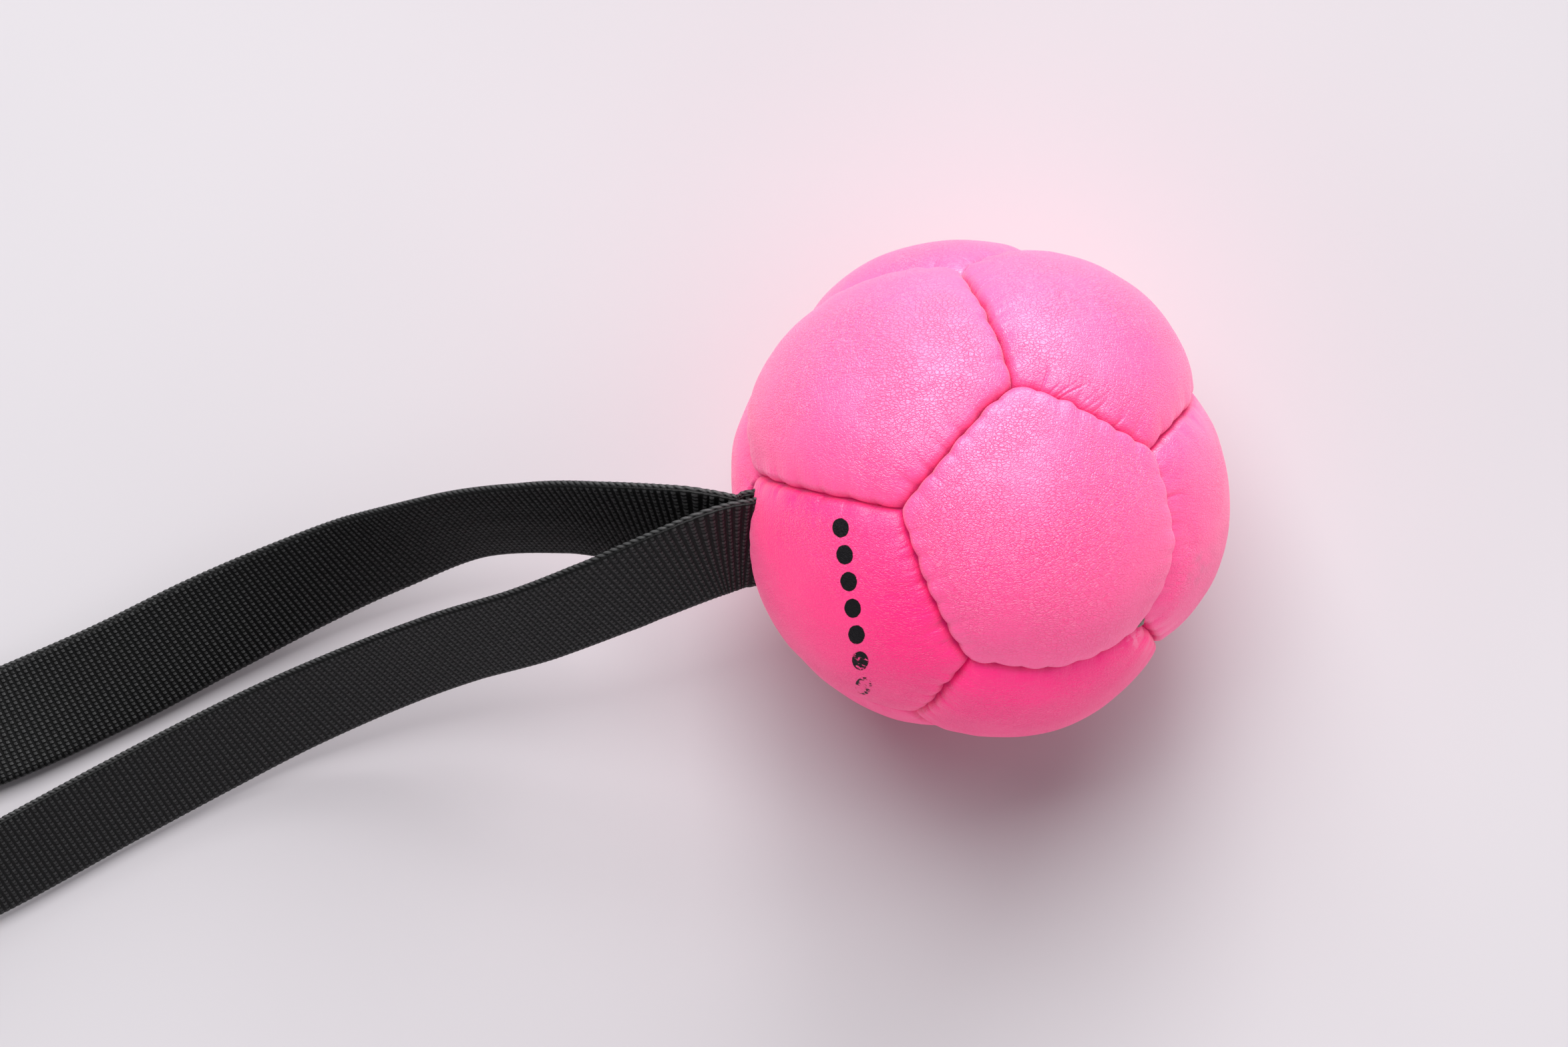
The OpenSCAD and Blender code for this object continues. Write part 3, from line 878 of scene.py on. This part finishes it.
def leather_material(name, printed=False):
    """Soft, bright pink synthetic leather with a fine grain of small cells."""
    m = Shading(name, PINK, 0.38, 1.0)
    m.shader.inputs["IOR"].default_value = 1.85
    # painted glow: how strongly the leather gives off light of its own
    m.shader.inputs["Emission Strength"].default_value = 0.40
    m.shader.inputs["Sheen Weight"].default_value = SHEEN
    m.shader.inputs["Sheen Roughness"].default_value = 0.5
    place = m.place()
    # the grain's cells, bent out of shape and longer one way than the other
    wander = m.node("ShaderNodeTexNoise", Vector=place, Scale=520.0, Detail=3.0).outputs["Color"]
    bent = m.vector_maths("ADD", place, m.vector_maths("MULTIPLY", wander, (0.0011, 0.0011, 0.0011)))
    stretched = m.vector_maths("MULTIPLY", bent, (0.75, 1.3, 1.0))
    grain = m.between(m.cells(stretched, 1750.0), 0.0, 0.15)
    small = m.between(m.cells(stretched, 3300.0), 0.0, 0.2)
    fine = m.noise(place, 6000.0, 3.0)
    # patches where the grain stands out more
    patches = m.between(m.noise(place, 75.0, 2.0), 0.36, 0.64, 0.50, 1.0)
    from_seam = m.attribute("from_seam").outputs["Fac"]
    away = m.between(from_seam, 0.3, 5.0, 0.4, 1.0)
    strength = m.maths("MULTIPLY", patches, away)
    height = m.maths("MULTIPLY_ADD", small, 0.35, grain)
    height = m.maths("MULTIPLY_ADD", fine, 0.3, height)
    height = m.maths("MULTIPLY", height, strength)
    # fine creases square to the seams
    beside = m.parts(m.attribute("seam_place").outputs["Vector"])
    lines = m.noise(m.combine(m.maths("MULTIPLY", beside[0], 0.20), m.maths("MULTIPLY", beside[1], 1.3),
                              beside[2]), 1.0, 3.0, 0.6)
    lines = m.between(lines, 0.36, 0.50)
    near = m.maths("POWER", 2.718, m.maths("MULTIPLY", beside[0], -0.33))
    creases = m.maths("MULTIPLY", lines, near)
    normal = m.bump(height, 0.00009, 0.9)
    normal = m.bump(creases, 0.0004, 0.28, normal)
    # colour: deeper pink on some panels, painted shade deeper in the grain's furrows and in the seams, a
    # little uneven all over
    uneven = m.noise(place, 45.0, 3.0)
    depth = m.attribute("depth_of_pink").outputs["Fac"]
    colour = m.mix(depth, PINK, FULL_PINK)
    shine = m.between(depth, 0.0, 1.0, 0.90, 0.45)
    colour = m.mix(m.between(uneven, 0.3, 0.7, 0.0, 0.08), colour, PALE_PINK)
    # painted shade: a deeper pink in the grain's furrows
    furrow_shade = m.maths("MULTIPLY", m.maths("SUBTRACT", 1.0, grain), m.maths("MULTIPLY", strength, 0.55))
    colour = m.mix(furrow_shade, colour, FULL_PINK)
    # wear: pale rubbed specks beside the torn corner, and a faint grey smudge
    rubbed = m.between(m.noise(place, 700.0, 4.0, 0.65), 0.50, 0.60)
    colour = m.mix(m.maths("MULTIPLY", m.attribute("scuffed").outputs["Fac"],
                           m.maths("MULTIPLY", rubbed, 0.9)), colour, (1.0, 0.66, 0.76))
    dirty = m.between(m.noise(place, 500.0, 4.0), 0.40, 0.65)
    colour = m.mix(m.maths("MULTIPLY", m.attribute("smudged").outputs["Fac"],
                           m.maths("MULTIPLY", dirty, 0.75)), colour, (0.36, 0.10, 0.19))
    # painted shade in the seams: a deep pink band along each seam, furthest in at each stitch, where it
    # draws the two panels together; the painted glow is dimmer there
    turn = m.maths("MULTIPLY", beside[1], math.pi / STITCH_PITCH)
    drawn_in = m.maths("MULTIPLY_ADD", m.maths("ABSOLUTE", m.maths("COSINE", turn)), 0.35, from_seam)
    seam_shade = m.between(drawn_in, 0.20, 0.68)
    colour = m.mix(seam_shade, SEAM_SHADE_PINK, colour)
    painted_glow_colour = m.mix(m.between(drawn_in, 0.2, 1.7), SEAM_SHADE_GLOW, PAINTED_GLOW)
    if printed:
        ink = printed_dots(m)
        colour = m.mix(ink, colour, INK)
        painted_glow_colour = m.mix(ink, painted_glow_colour, (0.0, 0.0, 0.0))
        shine = m.maths("MULTIPLY", shine, m.between(ink, 0.0, 1.0, 1.0, 0.10))
        m.join(m.between(ink, 0.0, 1.0, SHEEN, 0.0), m.shader.inputs["Sheen Weight"])
    # the painted glow: light the leather gives off of its own, none where there is ink
    m.join(painted_glow_colour, m.shader.inputs["Emission Color"])
    m.join(shine, m.shader.inputs["Specular IOR Level"])
    roughness = m.between(uneven, 0.3, 0.7, 0.42, 0.50)
    return m.finish(colour, roughness, normal)


SHADE_BLACK = (0.0006, 0.0006, 0.0007)                       # painted shade: black in the pits between the yarns and between the edge's strands


def webbing_material():
    """Black nylon: ribs across, each a row of knuckles, with painted light on the knuckle tops and painted
    shade in the pits between.
    """
    m = Shading("black_webbing", (0.012, 0.012, 0.0125), 0.55, 0.3)
    place = m.attribute("weave_place").outputs["Vector"]
    along, across, _ = m.parts(place)
    rows = m.maths("DIVIDE", along, RIB_PITCH)
    yarns = m.maths("DIVIDE", across, YARN_PITCH)
    rib = m.between(m.maths("COSINE", m.maths("MULTIPLY", rows, 2 * math.pi)), -0.8, 0.4)
    knuckle = m.between(m.maths("COSINE", m.maths("MULTIPLY", yarns, 2 * math.pi)), -1.0, 0.2, 0.2, 1.0)
    # each yarn lies over one rib and under the next; where it lies under it is lower, and painted darker as
    # shade
    over = m.maths("ADD", m.maths("ROUND", rows), m.maths("ROUND", yarns))
    lift = m.between(m.maths("COSINE", m.maths("MULTIPLY", over, math.pi)), -1.0, 1.0, UNDER, 1.0)
    top = m.maths("MULTIPLY", m.maths("MULTIPLY", rib, knuckle), lift)
    filaments = m.noise(m.vector_maths("MULTIPLY", place, (0.8, 9.0, 0.0)), 1.0, 2.0)
    uneven = m.noise(m.vector_maths("MULTIPLY", place, (0.9, 1.1, 0.0)), 1.0, 2.0)
    height = m.maths("MULTIPLY_ADD", filaments, 0.2, top)
    shade = m.maths("MULTIPLY", m.between(top, 0.25, 1.0), m.between(uneven, 0.3, 0.7, 0.6, 1.3), clamp=True)
    # painted light and shade: lighter knuckle tops, black pits between, a little uneven
    colour = m.mix(shade, SHADE_BLACK, (0.056, 0.056, 0.057))
    return m.finish(colour, m.between(filaments, 0.3, 0.7, 0.45, 0.6), m.bump(height, 0.0002, 0.6))


def edge_material():
    """Black nylon strands twisted along the webbing's edges."""
    m = Shading("black_strands", (0.012, 0.012, 0.0125), 0.5, 0.35)
    strand = m.attribute("strand").outputs["Fac"]
    fine = m.noise(m.place(), 3500.0, 2.0)
    # painted light and shade: each strand lighter on its crest, black between the strands
    colour = m.mix(m.between(strand, 0.05, 0.7), SHADE_BLACK, (0.055, 0.055, 0.056))
    return m.finish(colour, m.between(fine, 0.3, 0.7, 0.42, 0.6), m.bump(fine, 0.0001, 0.5))


def fibre_material():
    """A dull white wad of loose polyester fibre."""
    m = Shading("white_fibre", (0.62, 0.60, 0.56), 0.9, 0.2)
    place = m.place()
    strands = m.noise(m.vector_maths("MULTIPLY", place, (1.0, 0.25, 0.6)), 2600.0, 4.0, 0.7)
    colour = m.mix(m.between(strands, 0.3, 0.7), (0.46, 0.42, 0.37), (0.72, 0.68, 0.62))
    return m.finish(colour, None, m.bump(strands, 0.0004, 0.8))


def thread_material():
    """Pink polyester thread, twisted."""
    m = Shading("pink_thread", (0.75, 0.03, 0.16), 0.5, 0.4)
    place = m.place()
    twist = m.noise(place, 3800.0, 2.0)
    colour = m.mix(m.between(twist, 0.35, 0.65), (0.55, 0.015, 0.10), (0.85, 0.05, 0.22))
    return m.finish(colour, m.between(twist, 0.3, 0.7, 0.42, 0.6), m.bump(twist, 0.0002, 0.7))


def wear(piece, material):
    piece.data.materials.clear()
    piece.data.materials.append(material)


LEATHER_MATERIAL = leather_material("pink_leather")
PRINTED_MATERIAL = leather_material("printed_pink_leather", printed=True)
FIBRE_MATERIAL, THREAD_MATERIAL = fibre_material(), thread_material()
WEBBING_MATERIAL, EDGE_MATERIAL = webbing_material(), edge_material()
for name, panel in LEATHER.items():
    wear(panel, PRINTED_MATERIAL if name == PRINTED_PANEL else LEATHER_MATERIAL)
for piece in (FILLING, LOOSE_FIBRE):
    wear(piece, FIBRE_MATERIAL)
wear(WEBBING, WEBBING_MATERIAL)
wear(TAILS, WEBBING_MATERIAL)
for piece in (*WEB_EDGES, TAIL_EDGES):
    wear(piece, EDGE_MATERIAL)
for node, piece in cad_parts.items():
    if "thread" in node:
        wear(piece, THREAD_MATERIAL)

# ---------------------------------------------------------------- floor and light


FLOOR_HALF = 2500.0


def add_floor():
    corners = [(x * FLOOR_HALF, y * FLOOR_HALF, 0) for x, y in ((-1, -1), (1, -1), (1, 1), (-1, 1))]
    floor = add_mesh("floor", corners, [(0, 1, 2, 3)])
    m = Shading("pale_cloth", (0.64, 0.61, 0.64), 0.85, 0.2)
    uneven = m.noise(m.place(), 6.0, 2.0)
    colour = m.mix(m.between(uneven, 0.3, 0.7), (0.625, 0.595, 0.625), (0.655, 0.625, 0.655))
    floor.data.materials.append(m.finish(colour))


AIM = Vector((0, 0, 0.03))                           # metres, near the ball's middle


def add_area_light(name, place, size, power):
    """A square soft white light at place, in metres, facing the ball."""
    data = bpy.data.lights.new(name, "AREA")
    data.size = size
    data.energy = power
    light = bpy.data.objects.new(name, data)
    light.location = place
    light.rotation_euler = (AIM - Vector(place)).to_track_quat("-Z", "Y").to_euler()
    bpy.context.collection.objects.link(light)


def add_lights():
    add_area_light("key_light", (-0.75, 2.70, 4.10), 3.4, 248)
    add_area_light("back_light", (0.50, 3.10, 1.60), 2.2, 76)
    add_area_light("fill_light", (1.5, 0.1, 2.1), 1.6, 6)
    world = bpy.data.worlds.new("studio")
    world.use_nodes = True
    back = world.node_tree.nodes["Background"]
    back.inputs["Color"].default_value = (0.95, 0.96, 1.0, 1)
    back.inputs["Strength"].default_value = 0.21
    bpy.context.scene.world = world
    bpy.context.scene.view_settings.view_transform = "Standard"


add_floor()
add_lights()
